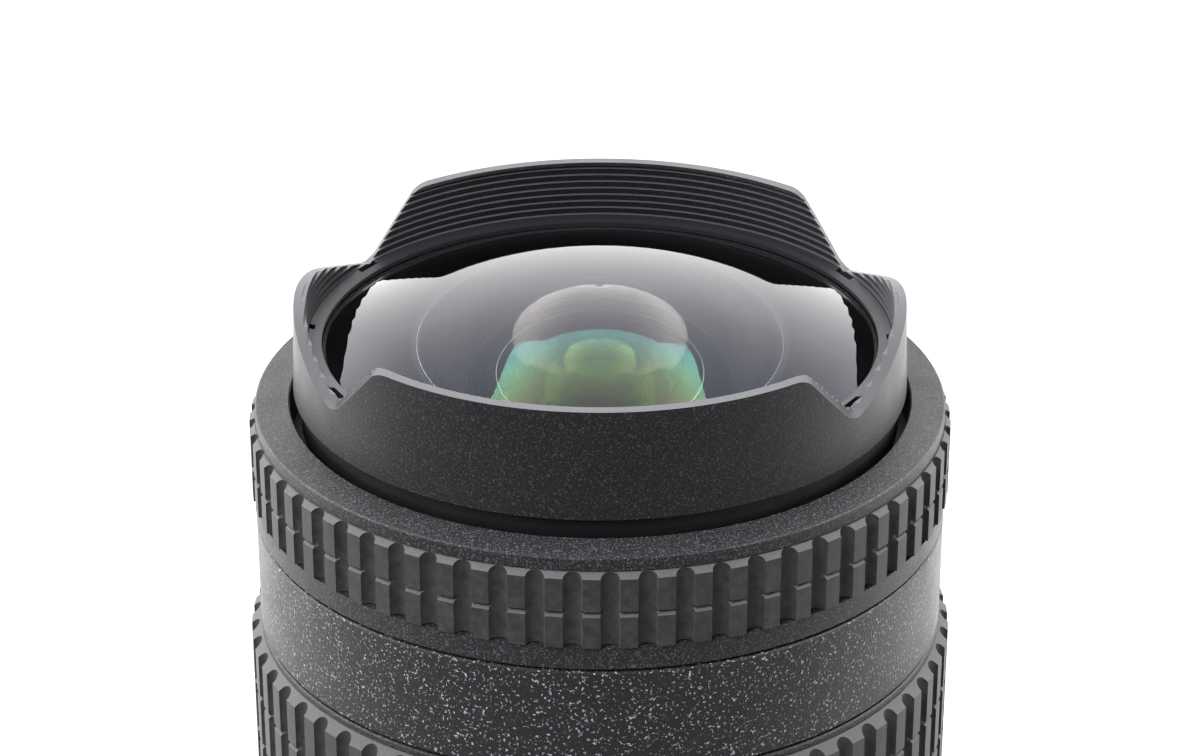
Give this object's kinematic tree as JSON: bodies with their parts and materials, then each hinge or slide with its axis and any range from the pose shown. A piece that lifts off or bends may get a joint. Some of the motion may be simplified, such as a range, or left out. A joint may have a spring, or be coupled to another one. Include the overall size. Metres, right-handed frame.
{
  "type": "fisheye lens",
  "caption": "Fisheye zoom lens for a reflex camera, with a fixed petal hood, a bulging front element, rubber zoom and focus rings and a bayonet mount.",
  "frame": {"origin": "centre of the bayonet mount's flange face, on the optical axis", "axes": "+Z along the optical axis to the front, +Y through the middle of one long petal of the hood, +X through the middle of one short petal"},
  "size_m": [0.07, 0.07, 0.0771],
  "materials": {
    "chromed_brass": "brushed chrome on brass",
    "screw_steel": "plain steel",
    "lever_steel": "plain steel",
    "blade_steel": "matt black dry-film coating",
    "black_plastic": "satin black with fine speckle",
    "gloss_plastic": "smooth black",
    "baffle_plastic": "matt black",
    "rubber": "moulded rubber",
    "black_aluminium": "black anodised",
    "brass": "machined",
    "gold_contacts": "gold plated",
    "board": "green solder mask",
    "chip_resin": "moulded resin",
    "optical_glass": "polished and coated"
  },
  "bodies": {
    "lens_body": {"mount_bayonet": "chromed_brass", "mount_screws": "screw_steel", "rear_barrel": "black_plastic", "rear_baffle": "baffle_plastic", "contact_block": "baffle_plastic", "contact_pins": "gold_contacts", "circuit_board": "board", "board_chips": "chip_resin", "guide_barrel": "black_aluminium", "guide_screws": "screw_steel", "outer_barrel": "black_plastic", "focus_motor": "screw_steel", "switch_plate": "gloss_plastic"},
    "focus_switch": {"focus_switch": "gloss_plastic"},
    "motor_pinion": {"motor_pinion": "brass"},
    "zoom_ring": {"zoom_ring": "black_plastic", "zoom_grip": "rubber", "zoom_keys": "brass", "cam_barrel": "black_aluminium"},
    "focus_ring": {"focus_ring": "black_plastic", "focus_grip": "rubber", "focus_cam_sleeve": "black_aluminium", "focus_cam_screws": "screw_steel"},
    "front_group": {"petal_hood": "black_plastic", "front_barrel": "black_aluminium", "front_ring": "black_aluminium", "front_element": "optical_glass", "second_element": "optical_glass", "front_spacer": "black_aluminium", "third_element": "optical_glass", "fourth_element": "optical_glass", "front_lock_ring": "black_aluminium", "front_rollers": "brass"},
    "middle_group": {"middle_barrel": "black_aluminium", "fifth_element": "optical_glass", "sixth_element": "optical_glass", "middle_spacer": "black_aluminium", "middle_lock_ring": "black_aluminium", "middle_rollers": "brass", "iris_housing": "black_aluminium", "iris_cover": "black_aluminium"},
    "iris_ring": {"iris_ring": "brass"},
    "rear_group": {"rear_group_barrel": "black_aluminium", "seventh_element": "optical_glass", "eighth_element": "optical_glass", "rear_spacers": "black_aluminium", "ninth_element": "optical_glass", "tenth_element": "optical_glass", "rear_lock_ring": "black_aluminium", "rear_rollers": "brass"},
    "stop_down_ring": {"stop_down_ring": "lever_steel"},
    "iris_blade_1": {"iris_blade_1": "blade_steel"},
    "iris_blade_2": {"iris_blade_2": "blade_steel"},
    "iris_blade_3": {"iris_blade_3": "blade_steel"},
    "iris_blade_4": {"iris_blade_4": "blade_steel"},
    "iris_blade_5": {"iris_blade_5": "blade_steel"},
    "iris_blade_6": {"iris_blade_6": "blade_steel"}
  },
  "joints": [
    {"name": "zoom_turn", "type": "hinge", "parent": "lens_body", "child": "zoom_ring", "pos_m": [0, 0, 0.0215], "axis": [0, 0, 1], "range_deg": [0, 60]},
    {"name": "focus_turn", "type": "hinge", "parent": "lens_body", "child": "focus_ring", "pos_m": [0, 0, 0.0535], "axis": [0, 0, 1], "range_deg": [0, 90]},
    {"name": "stop_down", "type": "hinge", "parent": "lens_body", "child": "stop_down_ring", "pos_m": [0, 0, 0.001], "axis": [0, 0, 1], "range_deg": [0, 24], "stiffness_Nm_per_rad": 0.004, "springref_deg": -8.59},
    {"name": "focus_switch_slide", "type": "hinge", "parent": "lens_body", "child": "focus_switch", "pos_m": [0, 0, 0.0396], "axis": [0, 0, 1], "range_deg": [0, 4.5]},
    {"name": "middle_group_slide", "type": "slide", "parent": "lens_body", "child": "middle_group", "axis": [0, 0, 1], "range_m": [0, 0.00701]},
    {"name": "rear_group_slide", "type": "slide", "parent": "lens_body", "child": "rear_group", "axis": [0, 0, 1], "range_m": [0, 0.00351]},
    {"name": "front_group_slide", "type": "slide", "parent": "lens_body", "child": "front_group", "axis": [0, 0, 1], "range_m": [0, 0.00181]},
    {"name": "motor_pinion_spin", "type": "hinge", "parent": "lens_body", "child": "motor_pinion", "pos_m": [0.0198, 0.0198, 0.0454], "axis": [0, 0, 1], "range_deg": [-919, 0]},
    {"name": "iris_ring_turn", "type": "hinge", "parent": "middle_group", "child": "iris_ring", "pos_m": [0, 0, 0.0208], "axis": [0, 0, 1], "range_deg": [0, 24.1]},
    {"name": "iris_blade_1_pivot", "type": "hinge", "parent": "middle_group", "child": "iris_blade_1", "pos_m": [0.017, 0, 0.0215], "axis": [0, 0, 1], "range_deg": [0, 25.3]},
    {"name": "iris_blade_2_pivot", "type": "hinge", "parent": "middle_group", "child": "iris_blade_2", "pos_m": [0.0085, 0.01472, 0.0217], "axis": [0, 0, 1], "range_deg": [0, 25.3]},
    {"name": "iris_blade_3_pivot", "type": "hinge", "parent": "middle_group", "child": "iris_blade_3", "pos_m": [-0.0085, 0.01472, 0.0219], "axis": [0, 0, 1], "range_deg": [0, 25.3]},
    {"name": "iris_blade_4_pivot", "type": "hinge", "parent": "middle_group", "child": "iris_blade_4", "pos_m": [-0.017, 0, 0.0221], "axis": [0, 0, 1], "range_deg": [0, 25.3]},
    {"name": "iris_blade_5_pivot", "type": "hinge", "parent": "middle_group", "child": "iris_blade_5", "pos_m": [-0.0085, -0.01472, 0.0223], "axis": [0, 0, 1], "range_deg": [0, 25.3]},
    {"name": "iris_blade_6_pivot", "type": "hinge", "parent": "middle_group", "child": "iris_blade_6", "pos_m": [0.0085, -0.01472, 0.0225], "axis": [0, 0, 1], "range_deg": [0, 25.3]}
  ],
  "couplings": [
    {"joint": "middle_group_slide", "follows": "zoom_turn", "m_per_rad": 0.0066845},
    {"joint": "rear_group_slide", "follows": "zoom_turn", "m_per_rad": 0.0033423},
    {"joint": "front_group_slide", "follows": "focus_turn", "m_per_rad": 0.0011459},
    {"joint": "motor_pinion_spin", "follows": "focus_turn", "ratio": -10.2},
    {"joint": "iris_ring_turn", "follows": "stop_down", "ratio": 1},
    {"joint": "iris_blade_1_pivot", "follows": "stop_down", "ratio": 1.05},
    {"joint": "iris_blade_2_pivot", "follows": "stop_down", "ratio": 1.05},
    {"joint": "iris_blade_3_pivot", "follows": "stop_down", "ratio": 1.05},
    {"joint": "iris_blade_4_pivot", "follows": "stop_down", "ratio": 1.05},
    {"joint": "iris_blade_5_pivot", "follows": "stop_down", "ratio": 1.05},
    {"joint": "iris_blade_6_pivot", "follows": "stop_down", "ratio": 1.05}
  ]
}
